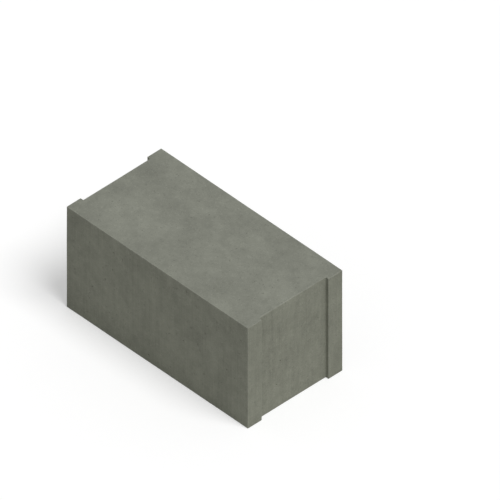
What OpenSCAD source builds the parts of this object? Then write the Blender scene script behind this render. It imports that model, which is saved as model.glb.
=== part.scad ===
// Solid concrete masonry block with a shallow mortar recess in each end.
// Millimetres. X runs along the length, Y across the width and Z up.
// The origin is at the centre of the underside.

/* [Block] */
// Length of the block, over the strips at its ends
block_length = 400; // [250:5:600]
// Width of the block
block_width = 200; // [120:5:300]
// Height of the block
block_height = 200; // [90:5:300]

/* [End recess] */
// Width of the strip that stands at each side of an end
strip_width = 30; // [15:1:45]
// Depth of the recess between the two strips
recess_depth = 6; // [4:0.5:20]

/* [Edges] */
// Radius of every outer edge
arris_radius = 1; // [0.5:0.1:2.5]
// Radius in the two inner corners of a recess
fillet_radius = 1; // [0.5:0.1:3]

/* [Hidden] */
$fn = 48;
concrete_grey = [0.50, 0.51, 0.47];

half_length = block_length / 2;
half_width = block_width / 2;
recess_floor = half_length - recess_depth;
recess_flank = half_width - strip_width;
// How far the cutting shapes stand clear of the block, inside the sweep of a fillet
overcut = fillet_radius / 2;

// Corners of one end, anticlockwise from above: strip, recess, strip.
end_corners = [
    [half_length, -half_width],
    [half_length, -recess_flank],
    [recess_floor, -recess_flank],
    [recess_floor, recess_flank],
    [half_length, recess_flank],
    [half_length, half_width]
];
// The other end is the same one turned half round.
outline = concat(end_corners, [for (corner = end_corners) -corner]);
corner_count = len(outline);

function corner(i) = outline[(i + corner_count) % corner_count];
function span(i) = corner(i + 1) - corner(i);
function heading(i) = span(i) / norm(span(i));
function angle_of(v) = atan2(v.y, v.x);
function is_outer(i) = cross(heading(i - 1), heading(i)) > 0;
function corner_radius(i) = is_outer(i) ? arris_radius : fillet_radius;

// Puts the origin on a corner, with X and Y along the two sides that meet there.
module at_corner(i) {
    translate(corner(i))
        rotate(angle_of(is_outer(i) ? heading(i) : -heading(i - 1)))
            children();
}

// What lies outside an arc about the origin, as far as the square corner on its -X -Y side.
module corner_sliver(radius) {
    reach = radius + overcut;
    difference() {
        translate([-reach, -reach])
            square(reach);
        circle(radius);
    }
}

// The sliver of a plan corner, in place.
module plan_corner(i) {
    radius = corner_radius(i);
    at_corner(i)
        translate([radius, radius])
            corner_sliver(radius);
}

// Section of the block seen from above, with its upright corners rounded.
module plan() {
    difference() {
        union() {
            polygon(outline);
            for (i = [0 : corner_count - 1])
                if (!is_outer(i))
                    plan_corner(i);
        }
        for (i = [0 : corner_count - 1])
            if (is_outer(i))
                plan_corner(i);
    }
}

// Section of what comes off a top edge. The top is at Y = 0, and the arc's centre is below the origin.
module arris_profile() {
    translate([0, -arris_radius])
        mirror([0, 1])
            corner_sliver(arris_radius);
}

// Rounds the edge above one straight wall.
module wall_arris(i) {
    run = norm(span(i)) - corner_radius(i) - corner_radius(i + 1);
    translate(corner(i) + heading(i) * corner_radius(i))
        rotate(angle_of(heading(i)))
            rotate([90, 0, 90])
                linear_extrude(run)
                    translate([arris_radius, 0])
                        arris_profile();
}

// Rounds the edge above one upright corner. On an outer corner it turns about the arc's own
// centre, and on an inner one it goes round the outside of the fillet.
module corner_arris(i) {
    radius = corner_radius(i);
    at_corner(i)
        translate([radius, radius])
            rotate_extrude(angle = 90, start = 180)
                if (is_outer(i))
                    mirror([1, 0])
                        arris_profile();
                else
                    translate([fillet_radius + arris_radius, 0])
                        arris_profile();
}

// Everything that comes off the top edge, all the way round.
module top_arris() {
    translate([0, 0, block_height])
        for (i = [0 : corner_count - 1]) {
            wall_arris(i);
            corner_arris(i);
        }
}

// The underside has the same edge, turned over.
module bottom_arris() {
    translate([0, 0, block_height])
        mirror([0, 0, 1])
            top_arris();
}

module block() {
    color(concrete_grey)
        difference() {
            linear_extrude(block_height)
                plan();
            top_arris();
            bottom_arris();
        }
}

block();
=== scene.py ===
"""A solid concrete block with a mortar recess in each end, lying on a white floor."""

import math
import random

import bmesh
import bpy
from mathutils import Matrix, Vector


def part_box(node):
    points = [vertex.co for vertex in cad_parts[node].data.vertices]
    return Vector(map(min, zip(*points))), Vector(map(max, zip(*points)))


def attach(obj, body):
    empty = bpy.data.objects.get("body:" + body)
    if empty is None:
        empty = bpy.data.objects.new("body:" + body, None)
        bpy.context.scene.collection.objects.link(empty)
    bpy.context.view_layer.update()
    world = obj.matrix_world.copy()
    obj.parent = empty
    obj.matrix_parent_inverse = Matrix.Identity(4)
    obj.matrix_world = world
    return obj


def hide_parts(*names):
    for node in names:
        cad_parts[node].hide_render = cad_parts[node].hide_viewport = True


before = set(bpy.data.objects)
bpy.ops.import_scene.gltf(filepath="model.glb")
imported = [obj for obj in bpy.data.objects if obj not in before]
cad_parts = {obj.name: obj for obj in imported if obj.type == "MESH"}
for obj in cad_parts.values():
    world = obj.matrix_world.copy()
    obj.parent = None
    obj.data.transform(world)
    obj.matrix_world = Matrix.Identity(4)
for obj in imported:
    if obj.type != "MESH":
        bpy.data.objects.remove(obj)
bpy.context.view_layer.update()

# Sizes of the block, in metres
MM = 0.001
block_low, block_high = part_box("block")
LENGTH, WIDTH, HEIGHT = block_high - block_low
STRIP_WIDTH = 30 * MM
RECESS_DEPTH = 6 * MM
RECESS_FLOOR = LENGTH / 2 - RECESS_DEPTH
RECESS_FLANK = WIDTH / 2 - STRIP_WIDTH

# Rounded edges
ARRIS_RADIUS = 1.0 * MM
ARRIS_STEPS = 3
ARRIS_ROUND = 0.5  # the bevel profile that makes an edge round
ARRIS_FOLD = math.radians(45)  # an edge folded more than this is rounded
ARRIS_MARK = "arris"  # the mesh attribute that marks the outer edges

# The grid that carries the relief, its axes, and what counts as one place or one direction
GRID = 2.4 * MM
ALONG, ACROSS, UP = range(3)
NEAR = 0.01 * MM
ALIGNED = 0.99

# Relief of the faces, as (name, length, depth below the true face, layers of noise)
RELIEF = (("waves", 90 * MM, 0.35 * MM, 1), ("grain", 7 * MM, 0.16 * MM, 2))
SMOOTH_FOLD = math.radians(40)  # a fold sharper than this shows as a line

# Air holes that a mould leaves, as (radius, holes in a square metre)
AIR_HOLES = ((0.7 * MM, 900), (1.1 * MM, 420), (1.6 * MM, 130))
AIR_HOLE_STEPS = 2
AIR_HOLE_ROUND = 0.086  # the bevel profile that makes a hole round
AIR_HOLE_RINGS = ((0.30, 0.52), (0.34, 0.30))  # steps inwards and down, in radii, that make its bowl
AIR_HOLE_EDGE_GAP = 7 * MM
AIR_HOLE_APART = 9 * MM
TOP_SHARE_OF_HOLES = 0.4
SEED = 11

# Colours of the concrete
MOULDED_PASTE = (0.2132, 0.2200, 0.1748)
# The top's paste is a little bluer than the sides': a painted sky tint for the cooler light that falls on
# the top
PRESSED_PASTE_PAINTED_SKY_TINT = (0.2146, 0.2223, 0.1850)
PASTE_SPREAD = 0.2  # how far the lightest and darkest paste stand from the middle
RUBBED = (0.300, 0.306, 0.262, 1)
SAND_LIGHT = (0.330, 0.330, 0.285, 1)
SAND_DARK = (0.115, 0.117, 0.102, 1)
# Dust and painted shade in the fine pores
PORE_DUST_AND_SHADE = (0.105, 0.108, 0.090, 1)

# Finishes: the paste, the share of places with a pore, how plainly sand and the mould's drag marks show
FINISHES = {
    "moulded_concrete": {"paste": MOULDED_PASTE, "pore_share": 0.35, "sand_shows": 0.3, "drag_shows": 0.35},
    # The pressed top's paste holds the painted sky tint
    "pressed_concrete_painted_sky_tint": {"paste": PRESSED_PASTE_PAINTED_SKY_TINT, "pore_share": 0.3, "sand_shows": 0.36, "drag_shows": 0},
    "underside_concrete": {"paste": MOULDED_PASTE, "pore_share": 0.15, "sand_shows": 0.2, "drag_shows": 0},
}

# The beds, top and bottom, as (finish, height, way out). Every other face is moulded.
BEDS = (("pressed_concrete_painted_sky_tint", HEIGHT, 1), ("underside_concrete", 0, -1))
BED_REACH = 3 * MM  # a face this close to a bed's height has its finish
BED_FACING = 0.3  # where its normal points out of the bed by at least this much

# Patterns in the concrete, by their size on the block
PATCH_SIZE = 70 * MM
SMALL_PATCH_SIZE = 16 * MM
PATCH_SHARE = 0.55  # what the large patches give of the mottle, beside the small ones
STONE_SIZE = 4.5 * MM
SAND_SIZE = 1.9 * MM
PORE_SPACING = 5 * MM
RUB_SIZE = 9 * MM
DRAG_WIDTH = 4 * MM
DRAG_SQUEEZE = 0.03  # a drag mark's width as a share of its height
DUST_SIZE = 0.8 * MM
SOFT_NOISE = {"Detail": 2.0, "Roughness": 0.5}
ROUGH_NOISE = {"Detail": 3.0, "Roughness": 0.6}
EVEN = 0.5  # the middle of a noise, and of the chances that scattered cells draw

# Stones, sand, pores and rubbed stretches: each fade runs from where one ends to where it is whole
STONE_FADE = (0.6, 0.2)
STONES_SHOW = 0.2
SAND_FADE = (0.55, 0.15)
PALE_SAND_SHARE = 0.2
DARK_SAND_SHARE = 0.16
PORE_RADII = (0.08, 0.24)
PORE_FADE = (1.0, 0.55)
# How strongly the dust and painted shade darken the pores
PORE_DUST_AND_SHADE_SHOWS = 0.7
RUB_FADE = (0.35, 0.65)
RUB_LEAST = 0.35  # what is left of the rub between its stretches
RUB_SHOWS = 0.3

# Surface of the concrete, with heights in bump depths
TONE_RANGE = (0.25, 0.75)  # of the darkest and of the lightest paste
ROUGHNESS = (0.96, 0.84)  # over the same range
SPECULAR = 0.3
BUMP_DEPTH = 0.25 * MM
BUMP_STRENGTH = 0.5
PORE_HEIGHT = -1.6
SAND_HEIGHT = 0.5
DUST_HEIGHT = 0.5

# The picture's view: a parallel projection, in pixels of a square frame
PICTURE_SIDE = 500
PIXELS_PER_METRE = 656.5
BLOCK_CENTRE_PIXEL = (204.55, 288.5)
VIEW_AZIMUTH = math.radians(46.27)
VIEW_ELEVATION = math.radians(40.08)
CAMERA_DISTANCE = 2.0

# Studio
WHITE = (1, 1, 1, 1)
FLOOR_SIDE = 12.0
FLOOR_COLOUR = (0.7, 0.7, 0.7, 1)
FLOOR_ROUGHNESS = 1.0
FLOOR_SPECULAR = 0.0
FLOOR_LIFT = 0.36  # what the camera sees on top of the lit floor, so that it reads as white
SKY_LEVEL = 0.33
KEY_LEVEL = 2.18
KEY_SOFTNESS = math.radians(30)
KEY_FROM = Vector((0.54, 0.02, 1.0))


# Modelling


def edit_mesh():
    """The mesh of the piece in edit mode."""
    return bmesh.from_edit_mesh(bpy.context.object.data)


def select_where(kind, test):
    """Selects the edges or faces that pass the test, and nothing else."""
    bpy.ops.mesh.select_mode(type=kind)
    bpy.ops.mesh.select_all(action="DESELECT")
    mesh = edit_mesh()
    for part in {"EDGE": mesh.edges, "FACE": mesh.faces}[kind]:
        if test(part):
            part.select_set(True)
    mesh.select_flush_mode()
    bmesh.update_edit_mesh(bpy.context.object.data)


def middle(edge):
    """The point halfway along an edge."""
    return (edge.verts[0].co + edge.verts[1].co) / 2


def runs_along(edge, axis):
    """Whether an edge lies along one of the axes."""
    return abs((edge.verts[1].co - edge.verts[0].co)[axis]) > ALIGNED * edge.calc_length()


def cut_runs(axis):
    """Cuts every edge that lies along one axis into steps of about the grid."""
    lengths = {round(e.calc_length() / NEAR) * NEAR for e in edit_mesh().edges if runs_along(e, axis)}
    for length in sorted(lengths):
        cuts = round(length / GRID) - 1
        if cuts > 0:
            select_where("EDGE", lambda e: runs_along(e, axis) and abs(e.calc_length() - length) < NEAR)
            bpy.ops.mesh.subdivide(number_cuts=cuts)


def draw_plan():
    """The block's plan, left in edit mode: a sheet with a strip out of each of its corners."""
    bpy.ops.mesh.primitive_plane_add(size=1, location=(0, 0, 0))
    bpy.ops.object.mode_set(mode="EDIT")
    bpy.ops.transform.resize(value=(2 * RECESS_FLOOR, WIDTH, 1))
    # The cut across the middle is there because one subdivide makes 100 cuts at most
    for place, across in (
        ((0, 0, 0), (1, 0, 0)),
        ((0, -RECESS_FLANK, 0), (0, 1, 0)),
        ((0, RECESS_FLANK, 0), (0, 1, 0)),
    ):
        bpy.ops.mesh.select_all(action="SELECT")
        bpy.ops.mesh.bisect(plane_co=place, plane_no=across)
    for side in (-1, 1):
        select_where(
            "EDGE",
            lambda e: abs(middle(e).x - side * RECESS_FLOOR) < NEAR and abs(middle(e).y) > RECESS_FLANK,
        )
        bpy.ops.mesh.extrude_region_move(TRANSFORM_OT_translate={"value": (side * RECESS_DEPTH, 0, 0)})


def mark_arrises():
    """Marks the outer rounded edges on the mesh: what the bevel left selected, less the recess corners."""
    mesh = edit_mesh()
    arris = mesh.verts.layers.float.new(ARRIS_MARK)
    for v in mesh.verts:
        from_floor = abs(abs(v.co.x) - RECESS_FLOOR)
        from_flank = abs(abs(v.co.y) - RECESS_FLANK)
        in_recess_corner = max(from_floor, from_flank) < ARRIS_RADIUS + NEAR
        v[arris] = float(v.select and not in_recess_corner)
    bmesh.update_edit_mesh(bpy.context.object.data)


def shape_block():
    """The block's form: its plan gridded and raised, with every edge rounded."""
    bpy.ops.object.select_all(action="DESELECT")
    draw_plan()
    cut_runs(ALONG)
    cut_runs(ACROSS)
    bpy.ops.mesh.select_mode(type="FACE")
    bpy.ops.mesh.select_all(action="SELECT")
    bpy.ops.mesh.extrude_region_move(TRANSFORM_OT_translate={"value": (0, 0, HEIGHT)})
    cut_runs(UP)
    bpy.ops.mesh.select_all(action="SELECT")
    bpy.ops.mesh.normals_make_consistent(inside=False)

    select_where("EDGE", lambda e: e.calc_face_angle() > ARRIS_FOLD)
    bpy.ops.mesh.bevel(
        offset=ARRIS_RADIUS,
        segments=ARRIS_STEPS,
        profile=ARRIS_ROUND,
        affect="EDGES",
        clamp_overlap=False,
    )
    mark_arrises()
    bpy.ops.object.mode_set(mode="OBJECT")
    block = bpy.context.object
    block.name = "concrete_block"
    return block


def clear_of_edges(v):
    """Whether a vertex of the top, a side or an end has room round it for an air hole."""
    gap = AIR_HOLE_EDGE_GAP
    from_ends = LENGTH / 2 - abs(v.co.x)
    from_sides = WIDTH / 2 - abs(v.co.y)
    from_beds = min(v.co.z, HEIGHT - v.co.z)
    from_flank = abs(abs(v.co.y) - RECESS_FLANK)
    if abs(v.normal.z) > ALIGNED:
        return v.normal.z > 0 and from_ends > RECESS_DEPTH + gap and from_sides > gap
    if abs(v.normal.y) > ALIGNED:
        return from_ends > RECESS_DEPTH + gap and from_beds > gap
    return abs(v.normal.x) > ALIGNED and min(from_beds, from_sides, from_flank) > gap


def hole_spots(block):
    """Picks the vertices that become air holes: a radius and a list of vertex numbers for each size."""
    draw = random.Random(SEED)
    # The bevel numbers its vertices differently each run, so they are put in order of place first
    open_spots = [v for v in block.data.vertices if clear_of_edges(v)]
    open_spots.sort(key=lambda v: tuple(round(c / NEAR) for c in v.co))
    draw.shuffle(open_spots)
    taken, spots = [], []
    for radius, per_square_metre in reversed(AIR_HOLES):
        # Each open spot stands for one square of the grid
        wanted = per_square_metre * len(open_spots) * GRID * GRID
        chosen = []
        while len(chosen) < wanted:
            v = open_spots.pop()
            if v.normal.z > ALIGNED and draw.random() > TOP_SHARE_OF_HOLES:
                continue
            if all((v.co - other).length > AIR_HOLE_APART for other in taken):
                taken.append(v.co.copy())
                chosen.append(v.index)
        spots.append((radius, chosen))
    return spots


def open_air_holes(block):
    """Opens a round bowl at each picked vertex."""
    marked = []
    for radius, vertices in hole_spots(block):
        mark = block.vertex_groups.new(name="air holes")
        mark.add(vertices, 1.0, "REPLACE")
        marked.append((radius, mark.name))
    bpy.ops.object.mode_set(mode="EDIT")
    for radius, mark in marked:
        bpy.ops.mesh.select_mode(type="VERT")
        bpy.ops.mesh.select_all(action="DESELECT")
        block.vertex_groups.active = block.vertex_groups[mark]
        bpy.ops.object.vertex_group_select()
        bpy.ops.mesh.bevel(
            offset=radius,
            segments=AIR_HOLE_STEPS,
            profile=AIR_HOLE_ROUND,
            affect="VERTICES",
            clamp_overlap=False,
        )
        bpy.ops.mesh.select_mode(type="FACE")
        for inwards, down in AIR_HOLE_RINGS:
            bpy.ops.mesh.inset(thickness=inwards * radius, depth=-down * radius)
    bpy.ops.object.mode_set(mode="OBJECT")
    bpy.ops.object.vertex_group_remove(all=True)


def roughen_faces(block):
    """Lets the faces sink a little below true, in long waves and in coarse grain."""
    for name, length, depth, layers in RELIEF:
        texture = bpy.data.textures.new(name, "CLOUDS")
        texture.noise_scale = length
        texture.noise_depth = layers
        relief = block.modifiers.new(name, "DISPLACE")
        relief.texture = texture
        relief.texture_coords = "LOCAL"
        relief.mid_level = 1.0  # the faces only sink, so the block stays inside its true size
        relief.strength = depth
        bpy.ops.object.modifier_apply(modifier=name)
    bpy.ops.object.shade_smooth_by_angle(angle=SMOOTH_FOLD)


# Nodes


def add_node(tree, kind, inputs=None, **options):
    """Adds a node with its options. An input given as a socket is linked, and any other is set."""
    node = tree.nodes.new(kind)
    for name, value in options.items():
        setattr(node, name, value)
    for name, value in (inputs or {}).items():
        if isinstance(value, bpy.types.NodeSocket):
            tree.links.new(value, node.inputs[name])
        else:
            node.inputs[name].default_value = value
    return node


def math_node(tree, operation, *values):
    """One step of arithmetic on numbers and sockets, in the order that the operation takes them."""
    return add_node(tree, "ShaderNodeMath", dict(enumerate(values)), operation=operation).outputs["Value"]


def mix_colours(tree, factor, first, second):
    """The first colour where the factor is 0, running to the second where it is 1."""
    inputs = {"Fac": factor, "Color1": first, "Color2": second}
    return add_node(tree, "ShaderNodeMixRGB", inputs).outputs["Color"]


def fade(tree, value, span, low=0.0, high=1.0):
    """A smooth step of a value, from low at the span's start to high at its end."""
    inputs = {"Value": value, "From Min": span[0], "From Max": span[1], "To Min": low, "To Max": high}
    return add_node(tree, "ShaderNodeMapRange", inputs, interpolation_type="SMOOTHSTEP").outputs["Result"]


def noise(tree, coordinates, scale, character):
    """Cloudy noise of a soft or a rough character, from 0 to 1."""
    inputs = {"Vector": coordinates, "Scale": scale, **character}
    return add_node(tree, "ShaderNodeTexNoise", inputs).outputs["Fac"]


def cells(tree, coordinates, scale):
    """Scattered cells: the distance from a cell's middle, and two chances that each cell draws."""
    pattern = add_node(tree, "ShaderNodeTexVoronoi", {"Vector": coordinates, "Scale": scale}).outputs
    drawn = add_node(tree, "ShaderNodeSeparateColor", {"Color": pattern["Color"]}).outputs
    return pattern["Distance"], drawn["Red"], drawn["Green"]


def new_group(name, inputs, outputs):
    """An empty node group with float inputs after its Vector, and float outputs."""
    tree = bpy.data.node_groups.new(name, "ShaderNodeTree")
    tree.interface.new_socket("Vector", in_out="INPUT", socket_type="NodeSocketVector")
    for socket in inputs:
        tree.interface.new_socket(socket, in_out="INPUT", socket_type="NodeSocketFloat")
    for socket in outputs:
        tree.interface.new_socket(socket, in_out="OUTPUT", socket_type="NodeSocketFloat")
    return tree, tree.nodes.new("NodeGroupInput").outputs, tree.nodes.new("NodeGroupOutput").inputs


def use_group(tree, group, coordinates, **values):
    """Places a pattern's group in a material, with that material's own values."""
    return add_node(tree, "ShaderNodeGroup", {"Vector": coordinates, **values}, node_tree=group).outputs


# Patterns that the finishes share


def mottle_group():
    """Cloudy patches in the cement paste, from hand-sized ones down to thumb-sized."""
    tree, given, out = new_group("cement mottle", ["Broad", "Fine"], ["Tone"])
    broad = noise(tree, given["Vector"], given["Broad"], SOFT_NOISE)
    fine = noise(tree, given["Vector"], given["Fine"], ROUGH_NOISE)
    fine_part = math_node(tree, "MULTIPLY", fine, 1 - PATCH_SHARE)
    tree.links.new(math_node(tree, "MULTIPLY_ADD", broad, PATCH_SHARE, fine_part), out["Tone"])
    return tree


def stones_group():
    """Stones just under the skin of cement: how far each leans to the light or the dark."""
    tree, given, out = new_group("stones", ["Scale"], ["Lean"])
    distance, chance, _ = cells(tree, given["Vector"], given["Scale"])
    lean = math_node(tree, "SUBTRACT", chance, EVEN)
    tree.links.new(math_node(tree, "MULTIPLY", lean, fade(tree, distance, STONE_FADE)), out["Lean"])
    return tree


def sand_group():
    """Grains of sand in the skin: pale ones, dark ones and the height of all of them."""
    tree, given, out = new_group("sand grain", ["Scale"], ["Pale", "Dark", "Height"])
    distance, chance, height = cells(tree, given["Vector"], given["Scale"])
    grain = fade(tree, distance, SAND_FADE)
    pale = math_node(tree, "GREATER_THAN", chance, 1 - PALE_SAND_SHARE)
    dark = math_node(tree, "LESS_THAN", chance, DARK_SAND_SHARE)
    tree.links.new(math_node(tree, "MULTIPLY", grain, pale), out["Pale"])
    tree.links.new(math_node(tree, "MULTIPLY", grain, dark), out["Dark"])
    tree.links.new(math_node(tree, "MULTIPLY", grain, height), out["Height"])
    return tree


def pore_group():
    """Pin-sized pores, scattered: the share says how many of the places have one."""
    tree, given, out = new_group("fine pores", ["Scale", "Share"], ["Pore"])
    distance, chance, size = cells(tree, given["Vector"], given["Scale"])
    least, most = PORE_RADII
    radius = math_node(tree, "MULTIPLY_ADD", size, most - least, least)
    pore = fade(tree, math_node(tree, "DIVIDE", distance, radius), PORE_FADE)
    there = math_node(tree, "LESS_THAN", chance, given["Share"])
    tree.links.new(math_node(tree, "MULTIPLY", pore, there), out["Pore"])
    return tree


def rub_group():
    """Where handling has rubbed the outer edges pale, in broken stretches."""
    tree, given, out = new_group("rubbed edges", ["Scale", "Edge"], ["Rub"])
    stretches = noise(tree, given["Vector"], given["Scale"], ROUGH_NOISE)
    broken = fade(tree, stretches, RUB_FADE, low=RUB_LEAST)
    tree.links.new(math_node(tree, "MULTIPLY", given["Edge"], broken), out["Rub"])
    return tree


# Finishes of the concrete


def drag_marks(tree, coordinates):
    """Upright streaks where the block slid out of its mould, lighter and darker about nought."""
    squeeze = {"Vector": coordinates, "Scale": (1, 1, DRAG_SQUEEZE)}
    upright = add_node(tree, "ShaderNodeMapping", squeeze).outputs["Vector"]
    return math_node(tree, "SUBTRACT", noise(tree, upright, 1 / DRAG_WIDTH, ROUGH_NOISE), EVEN)


def paste_colour(tree, tone, paste):
    """The paste, from its darkest to its lightest over the range of the tone."""
    ramp = add_node(tree, "ShaderNodeValToRGB", {"Fac": tone})
    shades = (1 - PASTE_SPREAD, 1 + PASTE_SPREAD)
    for stop, position, shade in zip(ramp.color_ramp.elements, TONE_RANGE, shades):
        stop.position = position
        stop.color = (*(channel * shade for channel in paste), 1)
    return ramp.outputs["Color"]


def concrete(name, groups, paste, pore_share, sand_shows, drag_shows):
    """One finish of the concrete: the shared patterns, each as plain as that finish shows it."""
    material = bpy.data.materials.new(name)
    material.use_nodes = True
    tree = material.node_tree
    shader = tree.nodes["Principled BSDF"]
    place = add_node(tree, "ShaderNodeTexCoord").outputs["Object"]
    edge = add_node(tree, "ShaderNodeAttribute", attribute_name=ARRIS_MARK).outputs["Fac"]
    mottle = use_group(tree, groups["mottle"], place, Broad=1 / PATCH_SIZE, Fine=1 / SMALL_PATCH_SIZE)
    stones = use_group(tree, groups["stones"], place, Scale=1 / STONE_SIZE)
    sand = use_group(tree, groups["sand"], place, Scale=1 / SAND_SIZE)
    pores = use_group(tree, groups["pores"], place, Scale=1 / PORE_SPACING, Share=pore_share)
    rub = use_group(tree, groups["rub"], place, Scale=1 / RUB_SIZE, Edge=edge)

    tone = math_node(tree, "MULTIPLY_ADD", stones["Lean"], STONES_SHOW, mottle["Tone"])
    if drag_shows:
        tone = math_node(tree, "MULTIPLY_ADD", drag_marks(tree, place), drag_shows, tone)
    colour = paste_colour(tree, tone, paste)
    for mask, shows, other in (
        (rub["Rub"], RUB_SHOWS, RUBBED),
        (sand["Pale"], sand_shows, SAND_LIGHT),
        (sand["Dark"], sand_shows, SAND_DARK),
        # The pores are darkened with dust and with painted shade
        (pores["Pore"], PORE_DUST_AND_SHADE_SHOWS, PORE_DUST_AND_SHADE),
    ):
        colour = mix_colours(tree, math_node(tree, "MULTIPLY", mask, shows), colour, other)
    tree.links.new(colour, shader.inputs["Base Color"])
    tree.links.new(fade(tree, tone, TONE_RANGE, *ROUGHNESS), shader.inputs["Roughness"])
    shader.inputs["Specular IOR Level"].default_value = SPECULAR

    dust = noise(tree, place, 1 / DUST_SIZE, SOFT_NOISE)
    height = math_node(tree, "MULTIPLY", dust, DUST_HEIGHT)
    height = math_node(tree, "MULTIPLY_ADD", sand["Height"], SAND_HEIGHT, height)
    height = math_node(tree, "MULTIPLY_ADD", pores["Pore"], PORE_HEIGHT, height)
    bump = {"Height": height, "Strength": BUMP_STRENGTH, "Distance": BUMP_DEPTH}
    tree.links.new(add_node(tree, "ShaderNodeBump", bump).outputs["Normal"], shader.inputs["Normal"])
    return material


def finish_faces(block):
    """Gives the moulded sides, the pressed top and the underside their own finish; the top's paste carries
    a painted sky tint.
    """
    groups = {
        "mottle": mottle_group(),
        "stones": stones_group(),
        "sand": sand_group(),
        "pores": pore_group(),
        "rub": rub_group(),
    }
    for name, finish in FINISHES.items():
        block.data.materials.append(concrete(name, groups, **finish))
    bpy.ops.object.mode_set(mode="EDIT")
    for name, bed, out in BEDS:
        select_where(
            "FACE",
            lambda f: abs(f.calc_center_median().z - bed) < BED_REACH and f.normal.z * out > BED_FACING,
        )
        block.active_material_index = block.data.materials.find(name)
        bpy.ops.object.material_slot_assign()
    bpy.ops.object.mode_set(mode="OBJECT")


# Stage


def seen_directly(tree):
    """1 for what the camera sees, straight or in a reflection, and 0 for light that falls on the block."""
    rays = add_node(tree, "ShaderNodeLightPath").outputs
    glossy_or_through = math_node(tree, "MAXIMUM", rays["Is Glossy Ray"], rays["Is Transmission Ray"])
    return math_node(tree, "MAXIMUM", rays["Is Camera Ray"], glossy_or_through)


def add_floor():
    """A wide matt floor that keeps the block's shadow."""
    bpy.ops.object.select_all(action="DESELECT")
    bpy.ops.mesh.primitive_plane_add(size=FLOOR_SIDE, location=(0, 0, 0))
    floor = bpy.context.object
    floor.name = "floor"
    material = bpy.data.materials.new("white_floor")
    material.use_nodes = True
    tree = material.node_tree
    shader = tree.nodes["Principled BSDF"]
    shader.inputs["Base Color"].default_value = FLOOR_COLOUR
    shader.inputs["Roughness"].default_value = FLOOR_ROUGHNESS
    shader.inputs["Specular IOR Level"].default_value = FLOOR_SPECULAR
    shader.inputs["Emission Color"].default_value = WHITE
    lift = math_node(tree, "MULTIPLY", seen_directly(tree), FLOOR_LIFT)
    tree.links.new(lift, shader.inputs["Emission Strength"])
    floor.data.materials.append(material)


def add_light():
    """An even sky, white where it is seen, and one soft lamp high over the right-hand end."""
    world = bpy.data.worlds.new("studio")
    world.use_nodes = True
    bpy.context.scene.world = world
    tree = world.node_tree
    level = math_node(tree, "MULTIPLY_ADD", seen_directly(tree), 1 - SKY_LEVEL, SKY_LEVEL)
    sky = tree.nodes["Background"]
    sky.inputs["Color"].default_value = WHITE
    tree.links.new(level, sky.inputs["Strength"])
    bpy.ops.object.light_add(type="SUN", location=KEY_FROM)
    key = bpy.context.object
    key.rotation_euler = KEY_FROM.to_track_quat("Z", "Y").to_euler()
    key.data.energy = KEY_LEVEL
    key.data.angle = KEY_SOFTNESS


def add_camera():
    """A parallel view from the picture's side, with the block where the picture has it."""
    level = math.cos(VIEW_ELEVATION)
    back = Vector(
        (math.sin(VIEW_AZIMUTH) * level, -math.cos(VIEW_AZIMUTH) * level, math.sin(VIEW_ELEVATION))
    )
    right = Vector((math.cos(VIEW_AZIMUTH), math.sin(VIEW_AZIMUTH), 0))
    up = back.cross(right)
    pixels_right = PICTURE_SIDE / 2 - BLOCK_CENTRE_PIXEL[0]
    pixels_up = BLOCK_CENTRE_PIXEL[1] - PICTURE_SIDE / 2
    centre = (block_low + block_high) / 2
    aim = centre + (right * pixels_right + up * pixels_up) / PIXELS_PER_METRE
    turn = Matrix((right, up, back)).transposed().to_4x4()
    bpy.ops.object.camera_add()
    camera = bpy.context.object
    camera.matrix_world = Matrix.Translation(aim + back * CAMERA_DISTANCE) @ turn
    camera.data.type = "ORTHO"
    camera.data.ortho_scale = PICTURE_SIDE / PIXELS_PER_METRE
    bpy.context.scene.camera = camera


block = shape_block()
open_air_holes(block)
roughen_faces(block)
finish_faces(block)
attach(block, "root")
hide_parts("block")

add_floor()
add_light()
add_camera()
bpy.context.scene.view_settings.view_transform = "Standard"
